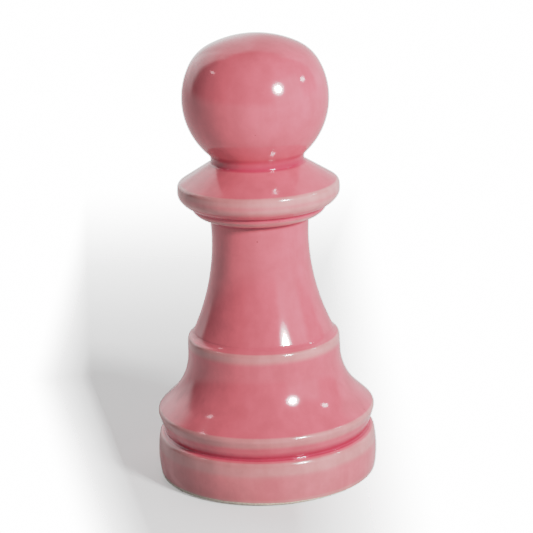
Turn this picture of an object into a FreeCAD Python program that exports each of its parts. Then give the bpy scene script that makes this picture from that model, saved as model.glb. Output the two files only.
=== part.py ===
import FreeCAD, Part

import math
import os

import Sketcher

# Giant pawn in glazed stoneware, 301 mm tall. Hollow castings are stacked on the Z axis.
# Each one carries a spigot that drops into the casting beneath it, and a thin band of slip
# (a luting band) bonds the two along the crease that shows outside. The underside has a
# raised foot ring with felt dots, and a drain hole closed by a rubber plug that pulls out.
#
# Origin: centre of the base, on the surface that the felt dots stand on. +Z is up.

SHEET = "dims"
OUT = 1
IN = -1
DOME = 0
# how a sketch's constraints name the sketch's own axes, its origin and a circle's centre
H_AXIS = -1
V_AXIS = -2
ORIGIN = (-1, 1)
CENTRE = 3

# Driving dimensions in millimetres. A name ending in _z is a height above the surface.
DIMENSIONS = {
    # shared by all the castings
    "wall": 6.0,
    "lute": 0.8,
    "lute_recess": 0.4,
    "spigot_wall": 4.0,
    "spigot_drop": 6.2,
    "socket_gap": 0.35,
    # felt dots under the foot ring
    "pad_thickness": 0.7,
    "pad_radius": 4.0,
    "pad_circle": 67.8,
    "pad_bevel": 0.2,
    # plinth
    "foot_inner": 63.6,
    "foot_flat": 72.9,
    "foot_radius": 73.6,
    "foot_round": 0.7,
    "foot_height": 6.0,
    "side_barrel": 72.0,
    "plinth_radius": 73.85,
    "plinth_side_z": 26.8,
    "plinth_edge": 4.0,
    "plinth_shoulder": 71.2,
    "plinth_shoulder_z": 30.6,
    "plinth_cavity": 68.4,
    "base_crease": 69.5,
    "plinth_top_z": 31.3,
    "drain_radius": 19.0,
    # skirt: leaning foot band, bell edge, flared side and the ring step on top
    "skirt_socket": 63.4,
    "skirt_foot": 70.0,
    "band_top": 73.65,
    "band_top_z": 43.8,
    "bell_edge": 3.0,
    "bell_shoulder": 73.2,
    "bell_shoulder_z": 46.85,
    "flare_start": 64.3,
    "flare_start_z": 55.45,
    "flare": 43.5,
    "inner_flare": 60.2,
    "inner_flare_z": 51.05,
    "inner_shoulder_z": 44.4,
    "inner_band": 65.6,
    "ring_radius": 51.85,
    "ring_foot_z": 85.2,
    "ring_side": 51.6,
    "ring_side_z": 94.9,
    "ring_edge": 3.5,
    "ring_shoulder": 49.4,
    "ring_shoulder_z": 98.05,
    "ring_crease": 48.6,
    "ring_top_z": 99.0,
    # stem
    "stem_socket": 40.9,
    "stem_foot": 47.8,
    "stem_curve": 155.0,
    "stem_waist": 32.5,
    "stem_waist_z": 167.2,
    "stem_head": 33.0,
    "stem_top_z": 179.0,
    "stem_bore_z": 111.0,
    # neck ring under the collar
    "neck_bore": 22.4,
    "neck_foot": 34.6,
    "neck_bead": 12.3,
    "neck_radius": 44.9,
    "neck_lip": 44.5,
    "neck_lip_round": 1.0,
    "neck_top_z": 186.3,
    "neck_socket_z": 182.6,
    # collar
    "collar_spigot": 30.0,
    "collar_foot": 44.7,
    "collar_under": 15.0,
    "collar_belly": 53.6,
    "collar_belly_z": 194.0,
    "collar_side": 11.0,
    "collar_rim": 54.0,
    "collar_rim_z": 199.8,
    "collar_edge": 3.5,
    "collar_shoulder": 52.95,
    "collar_shoulder_z": 202.9,
    "collar_land": 31.0,
    "collar_top_z": 216.6,
    "collar_cavity": 47.2,
    "collar_cavity_z": 198.6,
    "collar_land_under_z": 209.4,
    # ball head
    "head_spigot": 24.0,
    "head_foot": 31.0,
    "head_neck_z": 218.8,
    "head_fillet": 5.0,
    "head_lower": 32.45,
    "head_lower_z": 222.65,
    "ball": 48.6,
    "ball_upper": 42.4,
    "ball_upper_z": 282.5,
    "crown_turn": 29.0,
    "crown": 30.3,
    "crown_curve": 68.0,
    "head_bore_z": 221.1,
    "cavity_upper": 37.3,
    "cavity_upper_z": 279.4,
    "cavity_crown": 27.9,
    "total_height": 301.0,
    # rubber drain plug
    "plug_clearance": 0.05,
    "plug_flange": 23.0,
    "plug_flange_depth": 2.4,
    "plug_seat_gap": 0.1,
    "plug_length": 7.2,
    "plug_hollow": 13.0,
    "plug_web": 2.0,
    "plug_corner": 0.8,
    "pull_reach": 13.0,
    "pull_half_width": 2.5,
    "pull_depth": 1.8,
}

PAD_ANGLES = (45, 135, 225, 315)


def value(formula):
    """The number that cell names and numbers joined by + and - stand for."""
    if isinstance(formula, float):
        return formula
    total = 0.0
    sign = 1
    for word in formula.split():
        if word in "+-":
            sign = 1 if word == "+" else -1
        else:
            total += sign * (DIMENSIONS[word] if word in DIMENSIONS else float(word))
    return total


def bound(formula):
    """The same formula as an expression on the sheet's cells."""
    words = (f"{SHEET}.{w}" if w in DIMENSIONS else w for w in formula.split())
    return " ".join(words)


def line_to(across, up):
    """A straight step of an outline to a radius and a height."""
    return across, up, None, None


def arc_to(across, up, radius, swell):
    """A round step of an outline. swell is OUT or IN, away from the axis or towards it."""
    return across, up, radius, swell


def dome_to(across, up, radius):
    """A round step whose centre is on the Z axis, so that it turns into part of a sphere."""
    return across, up, radius, DOME


def dome_height(across, top, radius):
    """The height of a dome at a radius. As a bare number, it is worked out again by the sketch."""
    size = value(radius)
    return value(top) - size + math.sqrt(size**2 - value(across) ** 2)


def make_sheet(doc):
    sheet = doc.addObject("Spreadsheet::Sheet", SHEET)
    for row, (alias, number) in enumerate(DIMENSIONS.items(), start=1):
        sheet.set(f"A{row}", alias)
        sheet.set(f"B{row}", str(number))
        sheet.setAlias(f"B{row}", alias)
    doc.recompute()
    return sheet


def origin_plane(body, role):
    return next(f for f in body.Origin.OriginFeatures if f.Role == role)


def new_body(doc, label):
    body = doc.addObject("PartDesign::Body", label)
    body.Label = label
    return body


def new_sketch(body, name, role):
    sketch = body.newObject("Sketcher::SketchObject", name)
    sketch.AttachmentSupport = [(origin_plane(body, role), "")]
    sketch.MapMode = "FlatFace"
    return sketch


def add_constraints(sketch, wanted):
    """Adds constraints in one step. Each is (kind, places, size), and a size follows the sheet."""
    made = []
    for kind, places, size in wanted:
        numbers = () if size is None else (value(size),)
        made.append(Sketcher.Constraint(kind, *places, *numbers))
    first = sketch.ConstraintCount
    sketch.addConstraint(made)
    for index, (_, _, size) in enumerate(wanted, start=first):
        if size is not None:
            sketch.setExpression(f"Constraints[{index}]", bound(size))


def round_edge(start, end, radius, swell):
    """The shorter arc between two points and whether it runs from start to end.

    It is always drawn counterclockwise, because the sketcher turns a clockwise one round.
    """
    chord = end - start
    outward = FreeCAD.Vector(-chord.y, chord.x, 0).normalize()
    if outward.x < 0:
        outward = -outward
    centre_depth = math.sqrt(radius**2 - (chord.Length / 2) ** 2)
    side = OUT if swell == DOME else swell
    centre = (start + end) / 2 - outward * centre_depth * side
    forward = chord.cross(centre - start).z > 0
    first, last = (start, end) if forward else (end, start)
    first_angle = math.atan2(first.y - centre.y, first.x - centre.x)
    last_angle = math.atan2(last.y - centre.y, last.x - centre.x)
    if last_angle < first_angle:
        last_angle += 2 * math.pi
    circle = Part.Circle(centre, FreeCAD.Vector(0, 0, 1), radius)
    return Part.ArcOfCircle(circle, first_angle, last_angle), forward


def draw_outline(sketch, steps):
    """A closed outline in the XZ plane: every corner and every radius follows the sheet."""
    corners = [FreeCAD.Vector(value(s[0]), value(s[1]), 0) for s in steps]
    count = len(steps)
    ends = []
    for index, (_, _, radius, swell) in enumerate(steps):
        start = corners[index - 1]
        end = corners[index]
        if radius is None:
            edge, forward = Part.LineSegment(start, end), True
        else:
            edge, forward = round_edge(start, end, value(radius), swell)
        sketch.addGeometry(edge, False)
        ends.append((1, 2) if forward else (2, 1))
    wanted = []
    for index, (across, up, radius, swell) in enumerate(steps):
        end = ends[index][1]
        following = (index + 1) % count
        wanted.append(("Coincident", (index, end, following, ends[following][0]), None))
        if value(across) == 0:
            wanted.append(("PointOnObject", (index, end, V_AXIS), None))
        else:
            wanted.append(("DistanceX", (*ORIGIN, index, end), across))
        if not isinstance(up, float):
            wanted.append(("DistanceY", (*ORIGIN, index, end), up))
        if radius is not None:
            wanted.append(("Radius", (index,), radius))
        if swell == DOME:
            wanted.append(("PointOnObject", (index, CENTRE, V_AXIS), None))
    add_constraints(sketch, wanted)


def turned_body(doc, label, steps):
    """A body made by turning one closed outline round the Z axis."""
    body = new_body(doc, label)
    sketch = new_sketch(body, f"{label}_outline", "XZ_Plane")
    draw_outline(sketch, steps)
    turning = body.newObject("PartDesign::Revolution", f"{label}_turning")
    turning.Profile = sketch
    turning.ReferenceAxis = (sketch, ["V_Axis"])
    turning.Angle = 360
    sketch.Visibility = False
    doc.recompute()
    return body


def luting_band(doc, label, inner, crease, bottom):
    """A flat ring of dried slip between two castings, set back a little from the crease."""
    outer = f"{crease} - lute_recess"
    return turned_body(
        doc,
        label,
        [
            line_to(inner, bottom),
            line_to(outer, bottom),
            line_to(outer, f"{bottom} + lute"),
            line_to(inner, f"{bottom} + lute"),
        ],
    )


def plinth_shell(doc):
    floor_under = "pad_thickness + foot_height"
    floor_top = f"{floor_under} + wall"
    shelf_under = "plinth_top_z - wall"
    return turned_body(
        doc,
        "plinth_shell",
        [
            line_to("foot_inner", "pad_thickness"),
            line_to("foot_flat", "pad_thickness"),
            arc_to("foot_radius", "pad_thickness + foot_round", "foot_round", OUT),
            arc_to("plinth_radius", "plinth_side_z", "side_barrel", OUT),
            arc_to("plinth_shoulder", "plinth_shoulder_z", "plinth_edge", OUT),
            line_to("base_crease", "plinth_top_z"),
            line_to("skirt_socket", "plinth_top_z"),
            line_to("skirt_socket", shelf_under),
            line_to("plinth_cavity", shelf_under),
            line_to("plinth_cavity", floor_top),
            line_to("drain_radius", floor_top),
            line_to("drain_radius", floor_under),
            line_to("foot_inner", floor_under),
        ],
    )


def skirt_shell(doc):
    foot = "plinth_top_z + lute"
    spigot = "skirt_socket - socket_gap"
    bore = f"{spigot} - spigot_wall"
    ledge = f"{foot} + wall"
    return turned_body(
        doc,
        "skirt_shell",
        [
            line_to(bore, f"{foot} - spigot_drop"),
            line_to(spigot, f"{foot} - spigot_drop"),
            line_to(spigot, foot),
            line_to("skirt_foot", foot),
            line_to("band_top", "band_top_z"),
            arc_to("bell_shoulder", "bell_shoulder_z", "bell_edge", OUT),
            line_to("flare_start", "flare_start_z"),
            arc_to("ring_radius", "ring_foot_z", "flare", IN),
            line_to("ring_side", "ring_side_z"),
            arc_to("ring_shoulder", "ring_shoulder_z", "ring_edge", OUT),
            line_to("ring_crease", "ring_top_z"),
            line_to("stem_socket", "ring_top_z"),
            line_to("stem_socket", "ring_top_z - wall"),
            line_to("ring_side - wall", "ring_top_z - wall"),
            line_to("ring_side - wall", "ring_foot_z"),
            arc_to("inner_flare", "inner_flare_z", "flare + wall", IN),
            line_to("bell_shoulder - wall", "inner_shoulder_z"),
            line_to("inner_band", ledge),
            line_to(bore, ledge),
        ],
    )


def stem_shell(doc):
    foot = "ring_top_z + lute"
    spigot = "stem_socket - socket_gap"
    bore = f"{spigot} - spigot_wall"
    inside = "stem_waist - wall"
    return turned_body(
        doc,
        "stem_shell",
        [
            line_to(bore, f"{foot} - spigot_drop"),
            line_to(spigot, f"{foot} - spigot_drop"),
            line_to(spigot, foot),
            line_to("stem_foot", foot),
            arc_to("stem_waist", "stem_waist_z", "stem_curve", IN),
            line_to("stem_head", "stem_top_z"),
            line_to(inside, "stem_top_z"),
            line_to(inside, "stem_waist_z"),
            arc_to(bore, "stem_bore_z", "stem_curve + wall", IN),
        ],
    )


def neck_ring(doc):
    foot = "stem_top_z + lute"
    spigot = "stem_waist - wall - socket_gap"
    socket = "collar_spigot + socket_gap"
    return turned_body(
        doc,
        "neck_ring",
        [
            line_to("neck_bore", f"{foot} - spigot_drop"),
            line_to(spigot, f"{foot} - spigot_drop"),
            line_to(spigot, foot),
            line_to("neck_foot", foot),
            arc_to("neck_radius", "neck_top_z - neck_lip_round", "neck_bead", OUT),
            arc_to("neck_lip", "neck_top_z", "neck_lip_round", OUT),
            line_to(socket, "neck_top_z"),
            line_to(socket, "neck_socket_z"),
            line_to("neck_bore", "neck_socket_z"),
        ],
    )


def collar(doc):
    foot = "neck_top_z + lute"
    spigot_foot = "neck_socket_z + socket_gap"
    bore = "collar_spigot - spigot_wall"
    socket = "head_spigot + socket_gap"
    return turned_body(
        doc,
        "collar",
        [
            line_to(bore, spigot_foot),
            line_to("collar_spigot", spigot_foot),
            line_to("collar_spigot", foot),
            line_to("collar_foot", foot),
            arc_to("collar_belly", "collar_belly_z", "collar_under", OUT),
            arc_to("collar_rim", "collar_rim_z", "collar_side", OUT),
            arc_to("collar_shoulder", "collar_shoulder_z", "collar_edge", OUT),
            line_to("collar_land", "collar_top_z"),
            line_to(socket, "collar_top_z"),
            line_to(socket, "collar_land_under_z"),
            line_to("collar_land", "collar_land_under_z"),
            line_to("collar_cavity", "collar_cavity_z"),
            line_to("collar_cavity", f"{foot} + wall"),
            line_to(bore, f"{foot} + wall"),
        ],
    )


def head_shell(doc):
    foot = "collar_top_z + lute"
    bore = "head_spigot - spigot_wall"
    cavity_top = "total_height - wall"
    crown_height = dome_height("crown", "total_height", "crown_curve")
    cavity_crown_height = dome_height("cavity_crown", cavity_top, "crown_curve - wall")
    return turned_body(
        doc,
        "head_shell",
        [
            line_to(bore, f"{foot} - spigot_drop"),
            line_to("head_spigot", f"{foot} - spigot_drop"),
            line_to("head_spigot", foot),
            line_to("head_foot", foot),
            line_to("head_foot", "head_neck_z"),
            arc_to("head_lower", "head_lower_z", "head_fillet", IN),
            arc_to("ball_upper", "ball_upper_z", "ball", OUT),
            arc_to("crown", crown_height, "crown_turn", OUT),
            dome_to("0", "total_height", "crown_curve"),
            line_to("0", cavity_top),
            dome_to("cavity_crown", cavity_crown_height, "crown_curve - wall"),
            arc_to("cavity_upper", "cavity_upper_z", "crown_turn - wall", OUT),
            arc_to(bore, "head_bore_z", "ball - wall", OUT),
        ],
    )


def drain_plug(doc):
    """A flanged cup with a bar under it to pull it by."""
    seat = "pad_thickness + foot_height - plug_seat_gap"
    flange_under = f"{seat} - plug_flange_depth"
    stopper = "drain_radius - plug_clearance"
    top = f"{seat} + plug_length"
    body = turned_body(
        doc,
        "drain_plug",
        [
            line_to("0", flange_under),
            line_to("plug_flange - plug_corner", flange_under),
            arc_to("plug_flange", f"{flange_under} + plug_corner", "plug_corner", OUT),
            line_to("plug_flange", seat),
            line_to(stopper, seat),
            line_to(stopper, f"{top} - plug_corner"),
            line_to(f"{stopper} - plug_corner", top),
            line_to("plug_hollow", top),
            line_to("plug_hollow", f"{seat} + plug_web"),
            line_to("0", f"{seat} + plug_web"),
        ],
    )
    add_pull_bar(doc, body, flange_under)
    return body


def add_pull_bar(doc, body, flange_under):
    """A bar with round ends under the plug's flange."""
    plain_volume = body.Shape.Volume
    sketch = new_sketch(body, "pull_bar_outline", "XY_Plane")
    sketch.setExpression("AttachmentOffset.Base.z", bound(flange_under))
    reach = value("pull_reach")
    half = value("pull_half_width")
    up = FreeCAD.Vector(0, 0, 1)
    quarter = math.pi / 2
    left = FreeCAD.Vector(-reach, 0, 0)
    right = FreeCAD.Vector(reach, 0, 0)
    side = FreeCAD.Vector(0, half, 0)
    edges = [
        Part.LineSegment(right + side, left + side),
        Part.ArcOfCircle(Part.Circle(left, up, half), quarter, 3 * quarter),
        Part.LineSegment(left - side, right - side),
        Part.ArcOfCircle(Part.Circle(right, up, half), -quarter, quarter),
    ]
    for edge in edges:
        sketch.addGeometry(edge, False)
    wanted = [("Tangent", (one, 2, (one + 1) % 4, 1), None) for one in range(4)]
    wanted += [
        ("Symmetric", (1, CENTRE, 3, CENTRE, *ORIGIN), None),
        ("PointOnObject", (3, CENTRE, H_AXIS), None),
        ("DistanceX", (*ORIGIN, 3, CENTRE), "pull_reach"),
        ("Radius", (3,), "pull_half_width"),
    ]
    add_constraints(sketch, wanted)
    bar = body.newObject("PartDesign::Pad", "pull_bar")
    bar.Profile = sketch
    bar.setExpression("Length", bound("pull_depth"))
    bar.Reversed = True
    sketch.Visibility = False
    doc.recompute()
    if body.Shape.Volume <= plain_volume:
        raise RuntimeError("the pull bar added nothing to the drain plug")


def foot_pad(doc, number, angle):
    """One felt dot, centred on the foot ring's flat."""
    label = f"foot_pad_{number}"
    body = new_body(doc, label)
    sketch = new_sketch(body, f"{label}_outline", "XY_Plane")
    centre = FreeCAD.Vector(0, 0, 0)
    circle = sketch.addGeometry(
        Part.Circle(centre, FreeCAD.Vector(0, 0, 1), value("pad_radius")), False
    )
    wanted = [("Coincident", (circle, CENTRE, *ORIGIN), None), ("Radius", (circle,), "pad_radius")]
    add_constraints(sketch, wanted)
    disc = body.newObject("PartDesign::Pad", f"{label}_disc")
    disc.Profile = sketch
    disc.setExpression("Length", bound("pad_thickness"))
    sketch.Visibility = False
    doc.recompute()
    bevel = body.newObject("PartDesign::Chamfer", f"{label}_bevel")
    lowest = min(range(len(disc.Shape.Edges)), key=lambda i: disc.Shape.Edges[i].BoundBox.ZMax)
    bevel.Base = (disc, [f"Edge{lowest + 1}"])
    bevel.setExpression("Size", bound("pad_bevel"))
    body.setExpression("Placement.Base.x", f"{SHEET}.pad_circle * cos({angle} deg)")
    body.setExpression("Placement.Base.y", f"{SHEET}.pad_circle * sin({angle} deg)")
    doc.recompute()
    return body


def make_nodes(doc):
    nodes = [plinth_shell(doc), skirt_shell(doc), stem_shell(doc)]
    nodes += [neck_ring(doc), collar(doc), head_shell(doc)]
    nodes += [
        luting_band(doc, "base_luting", "skirt_socket", "base_crease", "plinth_top_z"),
        luting_band(doc, "ring_luting", "stem_socket", "stem_foot", "ring_top_z"),
        luting_band(doc, "stem_luting", "stem_waist - wall", "stem_head", "stem_top_z"),
        luting_band(doc, "neck_luting", "collar_spigot + socket_gap", "neck_lip", "neck_top_z"),
        luting_band(doc, "head_luting", "head_spigot + socket_gap", "head_foot", "collar_top_z"),
    ]
    nodes.append(drain_plug(doc))
    nodes += [foot_pad(doc, number, angle) for number, angle in enumerate(PAD_ANGLES, start=1)]
    return nodes


def check(doc, nodes):
    """Stops before anything is written if an object failed or a shape isn't a sound solid."""
    for thing in doc.Objects:
        if "Invalid" in thing.State or "Error" in thing.State:
            raise RuntimeError(f"{thing.Label} failed: {thing.State}")
    for node in nodes:
        shape = node.Shape
        if shape.isNull() or not shape.isValid() or len(shape.Solids) != 1:
            raise RuntimeError(f"{node.Label} isn't one valid solid")


def main():
    doc = FreeCAD.newDocument("giant_pawn")
    make_sheet(doc)
    nodes = make_nodes(doc)
    doc.recompute()
    check(doc, nodes)
    os.makedirs("parts", exist_ok=True)
    for node in nodes:
        node.Shape.exportStep(f"parts/{node.Label}.step")
        box = node.Shape.optimalBoundingBox()
        print(f"{node.Label}: {node.Shape.Volume / 1000:.1f} cm3, z {box.ZMin:.2f} to {box.ZMax:.2f}")


main()
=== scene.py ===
import math

import bmesh
import bpy
import numpy as np
from mathutils import Matrix, Vector


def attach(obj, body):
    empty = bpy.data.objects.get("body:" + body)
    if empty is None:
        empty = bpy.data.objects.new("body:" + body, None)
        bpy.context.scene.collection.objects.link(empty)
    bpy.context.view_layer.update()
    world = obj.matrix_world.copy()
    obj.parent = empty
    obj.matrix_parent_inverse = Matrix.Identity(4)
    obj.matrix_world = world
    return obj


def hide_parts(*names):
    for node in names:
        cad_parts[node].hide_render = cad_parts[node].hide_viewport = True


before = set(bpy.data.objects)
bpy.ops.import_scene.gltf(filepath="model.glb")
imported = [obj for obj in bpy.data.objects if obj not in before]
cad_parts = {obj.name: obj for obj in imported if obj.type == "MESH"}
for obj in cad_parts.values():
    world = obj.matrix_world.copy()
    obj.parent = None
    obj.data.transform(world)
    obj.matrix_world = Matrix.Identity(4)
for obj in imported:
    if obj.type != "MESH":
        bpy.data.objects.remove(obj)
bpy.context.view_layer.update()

# A giant pawn of glazed stoneware: six castings stacked on the Z axis, glaze run into the
# creases between them, a rubber plug in the drain hole underneath, and four felt dots.
#
# Outlines are millimetres, radius then height above the surface. A third number is the radius
# of an arc from the point before: positive where it swells out, negative where it is hollow.

FOOT = [(19.0, 12.7), (19.0, 6.7), (63.6, 6.7), (63.6, 0.7), (72.9, 0.7)]
PLINTH = [(73.6, 1.4, 0.7), (73.85, 26.8, 72.0), (71.2, 30.6, 4.0), (69.5, 31.3)]
SKIRT = [
    (70.0, 32.1), (73.65, 43.8), (73.2, 46.85, 3.0), (64.3, 55.45), (51.85, 85.2, -43.5),
    (51.6, 94.9), (49.4, 98.05, 3.5), (48.6, 99.0),
]
STEM = [(47.8, 99.8), (32.5, 167.2, -155.0), (33.0, 179.0)]
NECK_RING = [(34.6, 179.8), (44.9, 185.3, 12.3), (44.5, 186.3, 1.0)]
COLLAR = [
    (44.7, 187.1), (53.6, 194.0, 15.0), (54.0, 199.8, 11.0), (52.95, 202.9, 3.5), (31.0, 216.6),
]
HEAD = [
    (31.0, 217.4), (31.0, 218.8), (32.45, 222.65, -5.0), (42.4, 282.5, 48.6),
    (30.3, 293.88, 29.0), (0.0, 301.0, 68.0),
]

# the hidden side of each casting's wall, from the top of its outline down to the bottom
INSIDE_PLINTH = [(63.4, 31.3), (63.4, 25.3), (68.4, 25.3), (68.4, 12.7)]
INSIDE_SKIRT = [
    (40.9, 99.0), (40.9, 93.0), (45.6, 93.0), (45.6, 85.2), (60.2, 51.05, -49.5), (67.2, 44.4),
    (65.6, 38.1), (59.05, 38.1), (59.05, 25.9), (63.05, 25.9), (63.05, 32.1),
]
INSIDE_STEM = [
    (26.5, 179.0), (26.5, 167.2), (36.55, 111.0, -161.0), (36.55, 93.6), (40.55, 93.6),
    (40.55, 99.8),
]
INSIDE_NECK_RING = [
    (30.35, 186.3), (30.35, 182.6), (22.4, 182.6), (22.4, 173.6), (26.15, 173.6), (26.15, 179.8),
]
INSIDE_COLLAR = [
    (24.35, 216.6), (24.35, 209.4), (31.0, 209.4), (47.2, 198.6), (47.2, 193.1), (26.0, 193.1),
    (26.0, 182.95), (30.0, 182.95), (30.0, 187.1),
]
INSIDE_HEAD = [
    (0.0, 295.0), (27.9, 288.37, 62.0), (37.3, 279.4, 23.0), (20.0, 221.1, 42.6), (20.0, 211.2),
    (24.0, 211.2), (24.0, 217.4),
]

# casting, the outside of its wall, the inside, and the luting in the crease above it with
# the radius of the luting's inner edge
SECTIONS = [
    ("plinth_shell", FOOT + PLINTH, INSIDE_PLINTH, "base_luting", 63.4),
    ("skirt_shell", SKIRT, INSIDE_SKIRT, "ring_luting", 40.9),
    ("stem_shell", STEM, INSIDE_STEM, "stem_luting", 26.5),
    ("neck_ring", NECK_RING, INSIDE_NECK_RING, "neck_luting", 30.35),
    ("collar", COLLAR, INSIDE_COLLAR, "head_luting", 24.35),
    ("head_shell", HEAD, INSIDE_HEAD, None, None),
]

# how finely outlines are traced and turned, in millimetres and radians
SPACING = 0.25
WIDEST_GAP = 1.2
MOST_TURN = math.radians(4)
SHARP_EDGE = math.radians(38)
AROUND = 256
PLUG_AROUND = 160
DOT_AROUND = 64
BAR_AROUND = 48

# where a luting's glaze meets its castings, in millimetres; straight is in radians a millimetre
STRAIGHT = 0.02
SHORTEST_FILLET = 0.75
LONGEST_FILLET = 1.5
JOINT_RECESS = 0.4

# how the castings differ from true turned shapes, in millimetres
GLAZE_ROUNDING = 0.75
OUT_OF_ROUND = 0.14
TRUE_RADIUS = 20.0

# where the glaze is thin and where it pools: widths and heights in millimetres, the least
# turn that counts in radians a millimetre, and how fast the effect grows beyond it
EDGE_WIDTH = 1.3
EDGE_TURN = 0.045
EDGE_GAIN = 20.0
EDGE_SOFTNESS = 0.6
BREAK_BELOW_EDGE = 0.5
BREAK_LENGTH = 8.0
CREASE_WIDTH = 1.2
CREASE_TURN = 0.012
CREASE_GAIN = 6.0
CREASE_SOFTNESS = 0.8
POOL_HEIGHT = 8.0
EVEN_DEPTH = 0.5

# the glaze on the plinth: its lower edge, and how much paler its colour is made on the side below
# the plinth's top edge
GLAZE_LINE = 1.7
FOOT_FLAT_RADIUS = 70.0
MARGIN = 6.0
PLINTH_TOP = 29.0
PLINTH_PALING = 0.25
PALING_SPREAD = 4.0


def mm(length):
    return length / 1000.0


# ---------------------------------------------------------------- outlines


def arc_points(start, end, radius):
    """Points of the shorter arc from start to end, without its start."""
    chord = end - start
    outward = np.array([-chord[1], chord[0]]) / np.linalg.norm(chord)
    if outward[0] < 0:
        outward = -outward
    depth = math.sqrt(max(radius**2 - chord @ chord / 4, 0.0))
    centre = (start + end) / 2 - outward * depth * np.sign(radius)
    first = math.atan2(*(start - centre)[::-1])
    last = math.atan2(*(end - centre)[::-1])
    turn = (last - first + math.pi) % math.tau - math.pi
    steps = max(2, math.ceil(abs(turn * radius) / SPACING))
    angles = first + turn * np.arange(1, steps + 1) / steps
    return centre + abs(radius) * np.column_stack([np.cos(angles), np.sin(angles)])


def line_points(start, end):
    steps = max(1, math.ceil(np.linalg.norm(end - start) / SPACING))
    share = np.arange(1, steps + 1)[:, None] / steps
    return start + (end - start) * share


def trace(outline):
    """An outline's lines and arcs as closely spaced points."""
    points = [np.array([outline[0][:2]])]
    for before, step in zip(outline, outline[1:]):
        start = np.array(before[:2])
        end = np.array(step[:2])
        curved = len(step) == 3
        points.append(arc_points(start, end, step[2]) if curved else line_points(start, end))
    return np.vstack(points)


def lengths_along(points):
    steps = np.linalg.norm(np.diff(points, axis=0), axis=1)
    return np.concatenate([[0.0], np.cumsum(steps)])


def evenly_spaced(points):
    along = lengths_along(points)
    wanted = np.linspace(0, along[-1], int(round(along[-1] / SPACING)) + 1)
    return np.column_stack([np.interp(wanted, along, points[:, k]) for k in (0, 1)])


def blurred(values, width):
    """values averaged with their neighbours under a bell curve that is width millimetres wide."""
    reach = math.ceil(4 * width / SPACING)
    weights = np.exp(-0.5 * (np.arange(-reach, reach + 1) * SPACING / width) ** 2)
    before = 2 * values[0] - values[1:reach + 1][::-1]
    after = 2 * values[-1] - values[-reach - 1:-1][::-1]
    padded = np.concatenate([before, values, after])
    return np.convolve(padded, weights / weights.sum(), mode="valid")


def carried_down(values, start, length):
    """values moved down the line by start millimetres, then fading out over length more."""
    first = round(start / SPACING)
    reach = round(length / SPACING)
    fade = np.cos(np.linspace(0, math.pi / 2, reach)) ** 2
    padded = np.concatenate([values, np.zeros(first + reach)])[first:]
    return np.array([(padded[k:k + reach] * fade).max() for k in range(len(values))])


def outer_line():
    """The whole outside, rounded off as glaze rounds it, and where the creases lie along it."""
    traced = [trace(section[1]) for section in SECTIONS]
    line = evenly_spaced(np.vstack(traced))
    mirrored = np.column_stack([-line[::-1, 0], line[::-1, 1]])
    whole = np.vstack([line, mirrored[1:]])
    smooth = np.column_stack([blurred(whole[:, k], GLAZE_ROUNDING) for k in (0, 1)])
    smooth = smooth[:len(line)]
    smooth[0] = line[0]
    smooth[-1, 0] = 0.0
    creases = []
    for below, above in zip(traced, traced[1:]):
        middle = (below[-1] + above[0]) / 2
        creases.append(int(np.argmin(np.linalg.norm(line - middle, axis=1))))
    return smooth, creases


def turning(line):
    """How sharply the line turns, per millimetre: positive over an edge, negative in a crease."""
    step = np.gradient(line, axis=0)
    angle = np.unwrap(np.arctan2(step[:, 1], step[:, 0]))
    return np.gradient(angle) / np.hypot(step[:, 0], step[:, 1])


def saturating(values, least, gain):
    """0 up to the least value that counts, then rising towards 1."""
    return 1 - np.exp(-np.clip(values - least, 0, None) * gain)


def glaze_depths(turn):
    """0 where glaze breaks thin over an edge and below it, 0.5 on a plain face, 1 where it pools.

    Runny glaze pools in a crease and for a way up the face above it.
    """
    over_edges = blurred(np.clip(turn, 0, None), EDGE_WIDTH)
    in_creases = blurred(np.clip(-turn, 0, None), CREASE_WIDTH)
    thin = saturating(over_edges, EDGE_TURN, EDGE_GAIN)
    thin = blurred(carried_down(thin, BREAK_BELOW_EDGE, BREAK_LENGTH), EDGE_SOFTNESS)
    pooled = saturating(in_creases, CREASE_TURN, CREASE_GAIN)
    pooled = blurred(carried_down(pooled[::-1], 0, POOL_HEIGHT)[::-1], CREASE_SOFTNESS)
    return EVEN_DEPTH - EVEN_DEPTH * thin * (1 - pooled) + (1 - EVEN_DEPTH) * pooled


def glaze_margins(line):
    """Millimetres along the line above the glaze's lower edge, held within MARGIN each way."""
    along = lengths_along(line)
    edge = np.argmax((line[:, 0] > FOOT_FLAT_RADIUS) & (line[:, 1] > GLAZE_LINE))
    return np.clip(along - along[edge], -MARGIN, MARGIN)


def seam(turn, crease, direction):
    """Where the glaze in a crease meets the casting: the first nearly straight place beside it."""
    shortest = round(SHORTEST_FILLET / SPACING)
    longest = round(LONGEST_FILLET / SPACING)
    for steps in range(shortest, longest):
        if turn[crease + direction * steps] > -STRAIGHT:
            return crease + direction * steps
    return crease + direction * longest


def thinned(first, last, turn):
    """Indexes along the line, close together where it turns and further apart where it doesn't."""
    kept = [first]
    turned = 0.0
    for index in range(first + 1, last):
        turned += abs(turn[index]) * SPACING
        gap = (index - kept[-1]) * SPACING
        if turned > MOST_TURN or gap >= WIDEST_GAP:
            kept.append(index)
            turned = 0.0
    return kept + [last]


def sparse(points):
    """The corners of a traced line and a few points of each arc."""
    kept = [0]
    for index in range(1, len(points) - 1):
        before = points[index] - points[kept[-1]]
        after = points[index + 1] - points[index]
        cross = before[0] * after[1] - before[1] * after[0]
        if abs(math.atan2(cross, before @ after)) > MOST_TURN:
            kept.append(index)
    return points[kept + [len(points) - 1]]


# ---------------------------------------------------------------- turned meshes


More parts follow.
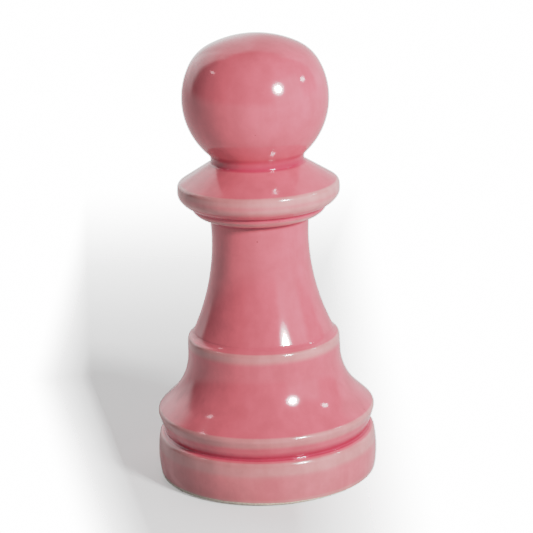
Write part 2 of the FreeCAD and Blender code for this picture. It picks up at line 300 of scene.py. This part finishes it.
def out_of_round(angle, height):
    """How far a hand-finished casting falls short of a true circle, from 0 to 1."""
    waves = (
        0.34 * np.sin(2 * angle + 0.021 * height + 0.7)
        + 0.26 * np.sin(3 * angle - 0.034 * height + 2.1)
        + 0.18 * np.sin(5 * angle + 0.052 * height + 4.0)
        + 0.12 * np.sin(9 * angle - 0.11 * height + 1.3)
        + 0.10 * np.sin(0.19 * height + 2 * np.sin(angle))
    )
    return 0.5 - 0.5 * waves


def ring_of_vertices(made, radius, height, angles, wobble):
    if radius < 1e-6:
        return [made.verts.new((0.0, 0.0, mm(height)))] * len(angles)
    share = min(1.0, max(0.0, radius / TRUE_RADIUS - 1))
    reach = radius - wobble * share * out_of_round(angles, height)
    across = mm(reach) * np.cos(angles)
    along = mm(reach) * np.sin(angles)
    return [made.verts.new((x, y, mm(height))) for x, y in zip(across, along)]


def turned_mesh(name, loop, values=None, wobble=OUT_OF_ROUND, around=AROUND, on_axis=False):
    """A closed mesh turned from a line of (radius, height) points, with values for each point.

    The line comes back to its first point, unless it starts and ends on the axis.
    """
    made = bmesh.new()
    values = values or {}
    layers = {key: made.verts.layers.float.new(key) for key in values}
    angles = math.tau * np.arange(around) / around
    rings = []
    for place, (radius, height) in enumerate(loop):
        ring = ring_of_vertices(made, radius, height, angles, wobble)
        for key, layer in layers.items():
            for vertex in ring:
                vertex[layer] = values[key][place]
        rings.append(ring)
    following = rings[1:] if on_axis else rings[1:] + rings[:1]
    for lower, upper in zip(rings, following):
        for index in range(around):
            after = (index + 1) % around
            corners = dict.fromkeys([lower[index], lower[after], upper[after], upper[index]])
            if len(corners) > 2:
                made.faces.new(list(corners))
    bmesh.ops.recalc_face_normals(made, faces=made.faces)
    return finished_mesh(name, made)


def finished_mesh(name, made):
    mesh = bpy.data.meshes.new(name)
    made.to_mesh(mesh)
    made.free()
    mesh.polygons.foreach_set("use_smooth", [True] * len(mesh.polygons))
    mesh.set_sharp_from_angle(angle=SHARP_EDGE)
    return mesh


def add_piece(name, mesh, body, replaced, material):
    piece = bpy.data.objects.new(name, mesh)
    bpy.context.scene.collection.objects.link(piece)
    mesh.materials.append(material)
    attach(piece, body)
    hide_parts(replaced)
    return piece


# ---------------------------------------------------------------- materials


class Nodes:
    """A short way to build a material's or a world's node tree."""

    def __init__(self, owner):
        owner.use_nodes = True
        self.owner = owner
        self.tree = owner.node_tree
        self.shader = self.tree.nodes.get("Principled BSDF")

    def add(self, kind, **settings):
        node = self.tree.nodes.new(kind)
        for key, setting in settings.items():
            setattr(node, key, setting)
        return node

    def put(self, socket, thing):
        """Sets a socket to a value, or links it to another socket."""
        if isinstance(thing, bpy.types.NodeSocket):
            self.tree.links.new(thing, socket)
        else:
            socket.default_value = thing

    def place(self, stretch=(1.0, 1.0, 1.0)):
        """Positions in the piece's own coordinates, stretched."""
        mapping = self.add("ShaderNodeMapping")
        self.put(mapping.inputs["Vector"], self.add("ShaderNodeTexCoord").outputs["Object"])
        mapping.inputs["Scale"].default_value = stretch
        return mapping.outputs["Vector"]

    def noise(self, scale, detail=2.0, roughness=0.5, stretch=(1.0, 1.0, 1.0)):
        node = self.add("ShaderNodeTexNoise")
        self.put(node.inputs["Vector"], self.place(stretch))
        node.inputs["Scale"].default_value = scale
        node.inputs["Detail"].default_value = detail
        node.inputs["Roughness"].default_value = roughness
        return node.outputs["Fac"]

    def attribute(self, name):
        return self.add("ShaderNodeAttribute", attribute_name=name).outputs["Fac"]

    def math(self, operation, *terms):
        node = self.add("ShaderNodeMath", operation=operation)
        for socket, term in zip(node.inputs, terms):
            self.put(socket, term)
        return node.outputs[0]

    def swing(self, noise, size):
        """A noise's difference from its middle, times size."""
        return self.math("MULTIPLY", self.math("SUBTRACT", noise, 0.5), size)

    def step(self, thing, low, high):
        """0 where a value is under low, 1 where it is over high, and smooth between them."""
        node = self.add("ShaderNodeMapRange", interpolation_type="SMOOTHSTEP")
        self.put(node.inputs["Value"], thing)
        node.inputs["From Min"].default_value = low
        node.inputs["From Max"].default_value = high
        return node.outputs["Result"]

    def ramp(self, factor, *stops):
        """A colour or grey by factor. Each stop is (position, grey or RGB)."""
        node = self.add("ShaderNodeValToRGB")
        node.color_ramp.interpolation = "EASE"
        self.put(node.inputs["Fac"], factor)
        elements = node.color_ramp.elements
        while len(elements) < len(stops):
            elements.new(0.5)
        for element, (position, shade) in zip(elements, stops):
            element.position = position
            rgb = (shade,) * 3 if isinstance(shade, (int, float)) else shade
            element.color = (*rgb, 1.0)
        return node.outputs["Color"]

    def mix(self, factor, first, second, blend="MIX"):
        node = self.add("ShaderNodeMix", data_type="RGBA", blend_type=blend)
        self.put(node.inputs["Factor"], factor)
        for socket, colour in ((node.inputs["A"], first), (node.inputs["B"], second)):
            plain = not isinstance(colour, bpy.types.NodeSocket)
            self.put(socket, (*colour, 1.0) if plain else colour)
        return node.outputs["Result"]

    def between(self, factor, first, second):
        """A number that goes from first to second."""
        node = self.add("ShaderNodeMix", data_type="FLOAT")
        self.put(node.inputs["Factor"], factor)
        self.put(node.inputs["A"], first)
        self.put(node.inputs["B"], second)
        return node.outputs["Result"]

    def bump(self, height, distance, strength=1.0, normal=None):
        node = self.add("ShaderNodeBump")
        node.inputs["Strength"].default_value = strength
        node.inputs["Distance"].default_value = distance
        self.put(node.inputs["Height"], height)
        if normal is not None:
            self.put(node.inputs["Normal"], normal)
        return node.outputs["Normal"]

    def set(self, **inputs):
        for name, thing in inputs.items():
            socket = self.shader.inputs[name.replace("_", " ")]
            plain_colour = isinstance(thing, tuple) and len(thing) == 3
            self.put(socket, (*thing, 1.0) if plain_colour else thing)


GLAZE_THIN = (0.55, 0.250, 0.250)
GLAZE_EVEN = (0.62, 0.152, 0.178)
GLAZE_DEEP = (0.48, 0.062, 0.098)
SPECK = (0.10, 0.045, 0.04)
CLAY_DARK = (0.42, 0.37, 0.31)
CLAY_PALE = (0.66, 0.60, 0.52)

# specks: cells to a metre, a speck's radius as a share of its cell, and the least of a cell's
# random value that gives it a speck
SPECK_CELLS = 75.0
SPECK_EDGE = (0.040, 0.020)
SPECK_CHANCE = (0.80, 0.84)

# how much the dipped edge of the glaze rises, in millimetres for each metre to the left and
# to the front, how ragged it is, and how softly it ends, in millimetres
RISES_TO_LEFT = 12.0
RISES_TO_FRONT = 10.0
RAGGEDNESS = 0.9
GLAZE_END = 0.15


def specks(n):
    """1 in the few small dark specks that fire through a glaze, 0 elsewhere."""
    cells = n.add("ShaderNodeTexVoronoi")
    n.put(cells.inputs["Vector"], n.place())
    cells.inputs["Scale"].default_value = SPECK_CELLS
    spot = n.step(cells.outputs["Distance"], *SPECK_EDGE)
    split = n.add("ShaderNodeSeparateColor")
    n.put(split.inputs[0], cells.outputs["Color"])
    return n.math("MULTIPLY", spot, n.step(split.outputs["Red"], *SPECK_CHANCE))


def dip_tilt(n):
    """How far the glaze's lower edge rises, in millimetres, as the pawn was dipped off level."""
    split = n.add("ShaderNodeSeparateXYZ")
    n.put(split.inputs[0], n.place())
    sideways = n.math("MULTIPLY", split.outputs["X"], -RISES_TO_LEFT)
    forward = n.math("MULTIPLY", split.outputs["Y"], -RISES_TO_FRONT)
    return n.math("ADD", sideways, forward)


def glaze_colour(n):
    """The glaze's colour by its depth, with soft patches, streaks that ran down, and specks."""
    drift = n.noise(22.0, detail=3.0, stretch=(1.0, 1.0, 0.45))
    depth = n.math("ADD", n.attribute("glaze_depth"), n.swing(drift, 0.16))
    colour = n.ramp(
        depth, (0.05, GLAZE_THIN), (0.42, GLAZE_EVEN), (0.62, GLAZE_EVEN), (0.95, GLAZE_DEEP)
    )
    mottle = n.noise(70.0, detail=4.0, roughness=0.6)
    colour = n.mix(1.0, colour, n.ramp(mottle, (0.30, 0.93), (0.70, 1.05)), blend="MULTIPLY")
    streaks = n.noise(130.0, detail=2.0, stretch=(1.0, 1.0, 0.12))
    colour = n.mix(1.0, colour, n.ramp(streaks, (0.30, 0.96), (0.70, 1.03)), blend="MULTIPLY")
    return n.mix(specks(n), colour, SPECK)


def clay_colour(n):
    grain = n.noise(900.0, detail=6.0, roughness=0.7)
    return n.ramp(grain, (0.3, CLAY_DARK), (0.7, CLAY_PALE))


def glaze_cover(n):
    """1 where there is glaze, 0 on the bare clay of the foot and the inside."""
    ragged = n.math("ADD", n.attribute("glaze_margin"), n.swing(n.noise(60.0), RAGGEDNESS))
    ragged = n.math("SUBTRACT", ragged, dip_tilt(n))
    return n.step(ragged, -GLAZE_END, GLAZE_END)


def glaze_material():
    """Pink glaze: pale where it is thin, deep where it pools, and bare clay below its edge."""
    n = Nodes(bpy.data.materials.new("pink_glaze"))
    glazed = glaze_cover(n)
    n.set(Base_Color=n.mix(glazed, clay_colour(n), glaze_colour(n)))
    n.set(Roughness=n.between(glazed, 0.85, 0.55), IOR=1.5)
    n.set(Coat_Weight=glazed, Coat_Roughness=0.11, Coat_IOR=1.5)
    n.set(Specular_IOR_Level=0.0)
    peel = n.noise(420.0, detail=1.0)
    waves = n.noise(38.0, detail=1.0, stretch=(1.0, 1.0, 1.6))
    normal = n.bump(peel, mm(0.02), 0.2)
    n.set(Normal=n.bump(waves, mm(0.2), 0.4, normal))
    return n.owner


def rubber_material():
    """Soft grey-white rubber with a fine matt skin and a little dust."""
    n = Nodes(bpy.data.materials.new("plug_rubber"))
    dust = n.noise(160.0, detail=5.0, roughness=0.65)
    n.set(Base_Color=n.ramp(dust, (0.30, (0.50, 0.48, 0.44)), (0.70, (0.62, 0.60, 0.56))))
    n.set(Roughness=n.ramp(n.noise(90.0, detail=3.0), (0.3, 0.48), (0.7, 0.62)), IOR=1.52)
    n.set(Normal=n.bump(n.noise(1500.0, detail=2.0), mm(0.03), 0.5))
    return n.owner


def felt_material():
    """Dark felt: short matted fibres, paler where they catch the light."""
    n = Nodes(bpy.data.materials.new("felt"))
    fibres = n.noise(2600.0, detail=4.0, roughness=0.7, stretch=(1.0, 1.0, 0.3))
    n.set(Base_Color=n.ramp(fibres, (0.3, (0.045, 0.040, 0.038)), (0.7, (0.13, 0.12, 0.115))))
    n.set(Roughness=0.95, Sheen_Weight=0.6, Sheen_Roughness=0.5)
    n.set(Normal=n.bump(fibres, mm(0.15), 0.9))
    return n.owner


# ---------------------------------------------------------------- the object


def add_glazed(node, shown, depths, margins, hidden, glaze):
    """A piece turned from the part of its outline that shows and the part that doesn't."""
    values = {
        "glaze_depth": np.concatenate([depths, np.full(len(hidden), EVEN_DEPTH)]),
        "glaze_margin": np.concatenate([margins, np.full(len(hidden), -MARGIN)]),
    }
    name = node + "_glazed"
    mesh = turned_mesh(name, np.vstack([shown, hidden]), values)
    add_piece(name, mesh, "pawn", node, glaze)


def recessed(corner):
    """The edge of a joint's flat faces, held back so that it can't show through the glaze."""
    return corner[0] - JOINT_RECESS, corner[1]


def make_castings(glaze):
    line, creases = outer_line()
    turn = turning(line)
    depths = glaze_depths(turn)
    # the plinth's side, below its top edge, is given a paler colour
    depths -= PLINTH_PALING * np.clip((PLINTH_TOP - line[:, 1]) / PALING_SPREAD, 0, 1)
    margins = glaze_margins(line)
    first = 0
    for section, crease in zip(SECTIONS, creases + [None]):
        node, outside, inside, luting, bore = section
        last = len(line) - 1 if crease is None else seam(turn, crease, -1)
        kept = thinned(first, last, turn)
        hidden = sparse(trace(inside))
        if crease is not None:
            hidden = np.vstack([recessed(outside[-1]), hidden])
        if first > 0:
            hidden = np.vstack([hidden, recessed(outside[0])])
        add_glazed(node, line[kept], depths[kept], margins[kept], hidden, glaze)
        if crease is None:
            break
        first = seam(turn, crease, 1)
        kept = thinned(last, first, turn)
        top = recessed(SECTIONS[SECTIONS.index(section) + 1][1][0])
        bottom = recessed(outside[-1])
        hidden = np.array([top, (bore, top[1]), (bore, bottom[1]), bottom])
        add_glazed(luting, line[kept], depths[kept], margins[kept], hidden, glaze)


PLUG_SKIRT = [(0.0, 4.2), (22.2, 4.2), (23.0, 5.0, 0.8), (23.0, 5.9), (22.3, 6.6, 0.7)]
PLUG_STOPPER = [(18.95, 6.6), (18.95, 13.0), (18.15, 13.8, 0.8)]
PLUG_CUP = [(13.6, 13.8), (13.0, 13.2, -0.6), (13.0, 9.4), (12.2, 8.6), (0.0, 8.6)]


PULL_BAR_REACH = 13.0
PULL_BAR_RADIUS = 2.5
# how far the pull bar's side stands in at each height, down to its rounded underside
PULL_BAR_SIDE = [(0.0, 4.6), (0.0, 3.1), (0.1, 2.75), (0.35, 2.5), (0.7, 2.4)]


def with_pull_bar(mesh, name):
    """The plug's mesh with a bar with round ends under its flange, moulded in one piece."""
    made = bmesh.new()
    made.from_mesh(mesh)
    around = np.linspace(0, math.tau, BAR_AROUND, endpoint=False)
    ends = np.where(np.cos(around) > 0, PULL_BAR_REACH, -PULL_BAR_REACH)
    rings = []
    for inset, height in PULL_BAR_SIDE:
        radius = PULL_BAR_RADIUS - inset
        across = ends + radius * np.cos(around)
        along = radius * np.sin(around)
        places = np.stack([mm(across), mm(along), np.full(BAR_AROUND, mm(height))], 1)
        rings.append([made.verts.new(place) for place in places])
    for upper, lower in zip(rings, rings[1:]):
        for index in range(BAR_AROUND):
            after = (index + 1) % BAR_AROUND
            made.faces.new([upper[index], lower[index], lower[after], upper[after]])
    made.faces.new(rings[0])
    made.faces.new(rings[-1][::-1])
    bmesh.ops.recalc_face_normals(made, faces=made.faces)
    return finished_mesh(name, made)


def make_plug(rubber):
    loop = sparse(trace(PLUG_SKIRT + PLUG_STOPPER + PLUG_CUP))
    cup = turned_mesh("drain_plug_cup", loop, wobble=0.0, around=PLUG_AROUND, on_axis=True)
    mesh = with_pull_bar(cup, "drain_plug_rubber")
    bpy.data.meshes.remove(cup)
    add_piece("drain_plug_rubber", mesh, "plug", "drain_plug", rubber)


DOT_CIRCLE = 67.8
DOT_AZIMUTHS = (45, 135, 225, 315)
FELT_DOT = [(0.0, 0.0), (3.7, 0.0), (4.0, 0.3, 0.3), (4.0, 0.62), (3.9, 0.7), (0.0, 0.7)]


def make_felt_dots(felt):
    for number, azimuth in enumerate(DOT_AZIMUTHS, start=1):
        node = f"foot_pad_{number}"
        loop = sparse(trace(FELT_DOT))
        mesh = turned_mesh(node + "_felt", loop, wobble=0.0, around=DOT_AROUND, on_axis=True)
        turn = math.radians(azimuth)
        centre = (mm(DOT_CIRCLE) * math.cos(turn), mm(DOT_CIRCLE) * math.sin(turn), 0.0)
        mesh.transform(Matrix.Translation(centre))
        add_piece(node + "_felt", mesh, "pawn", node, felt)


# ---------------------------------------------------------------- stage

FLOOR_SIZE = 1.2
FLOOR_ALBEDO = 0.62
FLOOR_HAZE = 0.10
# where the floor starts to thin out and where it has gone, in metres from the axis
FADES_TO_RIGHT = (-0.01, 0.115)
FADES_TO_LEFT = (0.085, 0.15)
FADES_TO_BACK = (0.05, 0.85)
LEFT_LEAN = 0.2
LEFT_LEAN_END = 0.2


def floor_material():
    """Paper that thins out to nothing away from the object, as in a cut-out."""
    n = Nodes(bpy.data.materials.new("floor_paper"))
    n.set(Base_Color=(FLOOR_ALBEDO,) * 3, Roughness=0.6, Specular_IOR_Level=0.15)
    split = n.add("ShaderNodeSeparateXYZ")
    n.put(split.inputs[0], n.place())
    across = split.outputs["X"]
    back = split.outputs["Y"]
    lean = n.math("MULTIPLY", n.math("MINIMUM", back, LEFT_LEAN_END), LEFT_LEAN)
    left = n.math("MULTIPLY", n.math("ADD", across, lean), -1.0)
    fade = n.math("MAXIMUM", n.step(across, *FADES_TO_RIGHT), n.step(left, *FADES_TO_LEFT))
    fade = n.math("MAXIMUM", fade, n.step(back, *FADES_TO_BACK))
    fade = n.math("MAXIMUM", fade, FLOOR_HAZE)
    mixer = n.add("ShaderNodeMixShader")
    n.put(mixer.inputs[0], fade)
    n.put(mixer.inputs[1], n.shader.outputs[0])
    n.put(mixer.inputs[2], n.add("ShaderNodeBsdfTransparent").outputs[0])
    n.put(n.tree.nodes["Material Output"].inputs["Surface"], mixer.outputs[0])
    return n.owner


def make_floor():
    made = bmesh.new()
    bmesh.ops.create_grid(made, x_segments=8, y_segments=8, size=FLOOR_SIZE)
    mesh = finished_mesh("floor", made)
    mesh.materials.append(floor_material())
    floor = bpy.data.objects.new("floor", mesh)
    bpy.context.scene.collection.objects.link(floor)


# Directions are azimuth then elevation in degrees, azimuth counted from the camera's side of
# the object towards its right. Lengths are metres and powers watts.

LIT_HEIGHT = 0.15
KEY_DIRECTION = (37.5, 25.5)
LAMPS = [
    # name, direction, distance, width and height, power
    ("key_softbox", KEY_DIRECTION, 1.0, (0.185, 0.185), 11.5),
    ("key_spill", KEY_DIRECTION, 1.01, (0.32, 0.32), 1.6),
    ("right_kicker", (86, 28), 0.74, (0.11, 0.065), 0.28),
    ("left_kicker", (-87, 40), 0.94, (0.14, 0.08), 0.16),
]

ROOM = [
    # name, from and to azimuth, from and to elevation, brightness
    ("wall_beside_key", (30, 80), (0, 30), 1.0),
    ("wall_behind_right", (115, 180), (0, 60), 0.9),
    ("wall_behind_left", (180, 240), (0, 60), 1.5),
    ("window_behind_left", (205, 245), (12, 45), 0.8),
    ("table_top", (-200, 200), (-95, 0), 0.7),
]
SOFT_EDGE = 6
SEEN_WHITE = 3.0
WHITE = (1, 1, 1, 1)


def pointing(azimuth, elevation):
    a = math.radians(azimuth)
    e = math.radians(elevation)
    return Vector((math.sin(a) * math.cos(e), -math.cos(a) * math.cos(e), math.sin(e)))


def make_lamps():
    target = Vector((0, 0, LIT_HEIGHT))
    for name, direction, distance, size, power in LAMPS:
        away = pointing(*direction)
        data = bpy.data.lights.new(name, "AREA")
        data.shape = "ELLIPSE"
        data.size, data.size_y = size
        data.energy = power
        lamp = bpy.data.objects.new(name, data)
        bpy.context.scene.collection.objects.link(lamp)
        lamp.location = target + away * distance
        lamp.rotation_mode = "QUATERNION"
        lamp.rotation_quaternion = away.to_track_quat("Z", "Y")


def inside_band(n, angle, band):
    """1 where an angle lies between a band's two edges in degrees, 0 beyond, softly."""
    middle = math.radians(sum(band) / 2)
    half = math.radians((band[1] - band[0]) / 2)
    soft = math.radians(SOFT_EDGE)
    away = n.math("WRAP", n.math("SUBTRACT", angle, middle), math.pi, -math.pi)
    return n.math("SUBTRACT", 1.0, n.step(n.math("ABSOLUTE", away), half - soft, half + soft))


def room_brightness(n):
    """The sum of the room's soft sources in each direction."""
    split = n.add("ShaderNodeSeparateXYZ")
    n.put(split.inputs[0], n.add("ShaderNodeTexCoord").outputs["Generated"])
    azimuth = n.math("ARCTAN2", split.outputs["X"], n.math("MULTIPLY", split.outputs["Y"], -1.0))
    elevation = n.math("ARCSINE", split.outputs["Z"])
    total = 0.0
    for _, azimuths, elevations, brightness in ROOM:
        across = inside_band(n, azimuth, azimuths)
        upward = inside_band(n, elevation, elevations)
        share = n.math("MULTIPLY", across, upward)
        total = n.math("ADD", total, n.math("MULTIPLY", share, brightness))
    return total


def background(n, strength):
    lit = n.add("ShaderNodeBackground")
    n.put(lit.inputs["Color"], WHITE)
    n.put(lit.inputs["Strength"], strength)
    return lit.outputs[0]


def make_world():
    """The room that the glaze reflects. The camera itself sees plain white."""
    n = Nodes(bpy.data.worlds.new("studio"))
    bpy.context.scene.world = n.owner
    n.tree.nodes.remove(n.tree.nodes["Background"])
    chosen = n.add("ShaderNodeMixShader")
    n.put(chosen.inputs[0], n.add("ShaderNodeLightPath").outputs["Is Camera Ray"])
    n.put(chosen.inputs[1], background(n, room_brightness(n)))
    n.put(chosen.inputs[2], background(n, SEEN_WHITE))
    n.put(n.tree.nodes["World Output"].inputs["Surface"], chosen.outputs[0])


# the picture's brightness for the scene's, which flattens bright reds as print does
TONES = [
    (0.5, 0.5), (0.6, 0.57), (0.85, 0.66), (1.0, 0.70), (1.5, 0.77), (2.0, 0.83), (3.0, 1.0),
]


def set_tones():
    settings = bpy.context.scene.view_settings
    settings.view_transform = "Standard"
    settings.use_curve_mapping = True
    mapping = settings.curve_mapping
    mapping.clip_max_x = TONES[-1][0]
    mapping.extend = "HORIZONTAL"
    for curve in mapping.curves[:3]:
        curve.points[-1].location = TONES[-1]
        for tone in TONES[:-1]:
            curve.points.new(*tone)
        for point in curve.points:
            point.handle_type = "VECTOR"
    mapping.update()


# metres, then the lens and sensor in millimetres, then degrees
CAMERA_DISTANCE = 1.292
CAMERA_HEIGHT = 0.518
CAMERA_LENS = 135.1
SENSOR_WIDTH = 36.0
CAMERA_DOWN = 16.18
CAMERA_RIGHT = 0.15
CAMERA_ROLL = -2.06


def make_camera():
    data = bpy.data.cameras.new("camera")
    data.lens = CAMERA_LENS
    data.sensor_width = SENSOR_WIDTH
    camera = bpy.data.objects.new("camera", data)
    bpy.context.scene.collection.objects.link(camera)
    turn = (
        Matrix.Rotation(math.radians(90 - CAMERA_DOWN), 4, "X")
        @ Matrix.Rotation(math.radians(-CAMERA_RIGHT), 4, "Y")
        @ Matrix.Rotation(math.radians(CAMERA_ROLL), 4, "Z")
    )
    camera.matrix_world = Matrix.Translation((0, -CAMERA_DISTANCE, CAMERA_HEIGHT)) @ turn
    bpy.context.scene.camera = camera


make_world()
make_floor()
make_lamps()
make_camera()
make_castings(glaze_material())
make_plug(rubber_material())
make_felt_dots(felt_material())
set_tones()
